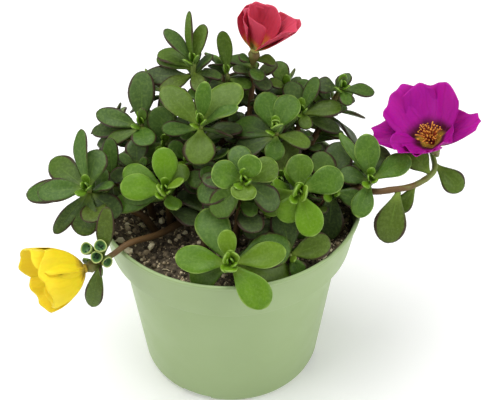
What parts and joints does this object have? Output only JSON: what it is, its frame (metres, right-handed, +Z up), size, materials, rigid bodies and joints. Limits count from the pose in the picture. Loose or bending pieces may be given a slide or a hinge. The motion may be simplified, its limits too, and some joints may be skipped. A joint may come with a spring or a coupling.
{
  "type": "potted portulaca",
  "caption": "Portulaca in a pale sage green plastic nursery pot, with fleshy spoon-shaped leaves and magenta, red and yellow flowers.",
  "frame": {"origin": "centre of the pot's flat underside, which stands on the ground", "axes": "+Z up along the pot's axis; -Y towards the viewer of the picture, +X to the viewer's right"},
  "size_m": [0.1969, 0.1351, 0.1772],
  "materials": {
    "pot": "satin moulded polypropylene, pale sage green",
    "soil": "dark crumbly peat with white perlite grains",
    "foliage": "fleshy leaves, satin, darker and red-edged when old; red-brown stems",
    "petal_magenta": "thin soft petals with a silky sheen",
    "petal_red": "thin soft petals, orange at their base",
    "petal_yellow": "thin soft petals",
    "stamen": "dusty orange-yellow anthers"
  },
  "bodies": {
    "root": {"bloom_magenta": "petal_magenta", "bloom_red": "petal_red", "bloom_yellow": "petal_yellow", "pot": "pot", "soil": "soil", "stamens_magenta": "stamen", "stem_back": "foliage", "stem_back_far_right": "foliage", "stem_back_high": "foliage", "stem_back_left": "foliage", "stem_back_left_high": "foliage", "stem_back_middle": "foliage", "stem_back_right": "foliage", "stem_bud": "foliage", "stem_centre": "foliage", "stem_far_left": "foliage", "stem_front": "foliage", "stem_inner": "foliage", "stem_inner_front": "foliage", "stem_left": "foliage", "stem_left_front": "foliage", "stem_left_inner": "foliage", "stem_left_low": "foliage", "stem_left_small": "foliage", "stem_lone": "foliage", "stem_low_right": "foliage", "stem_magenta": "foliage", "stem_mid_left": "foliage", "stem_red": "foliage", "stem_right": "foliage", "stem_right_back": "foliage", "stem_right_front": "foliage", "stem_right_inner": "foliage", "stem_right_low": "foliage", "stem_top_left": "foliage", "stem_upper_right": "foliage", "stem_yellow": "foliage"}
  },
  "joints": []
}
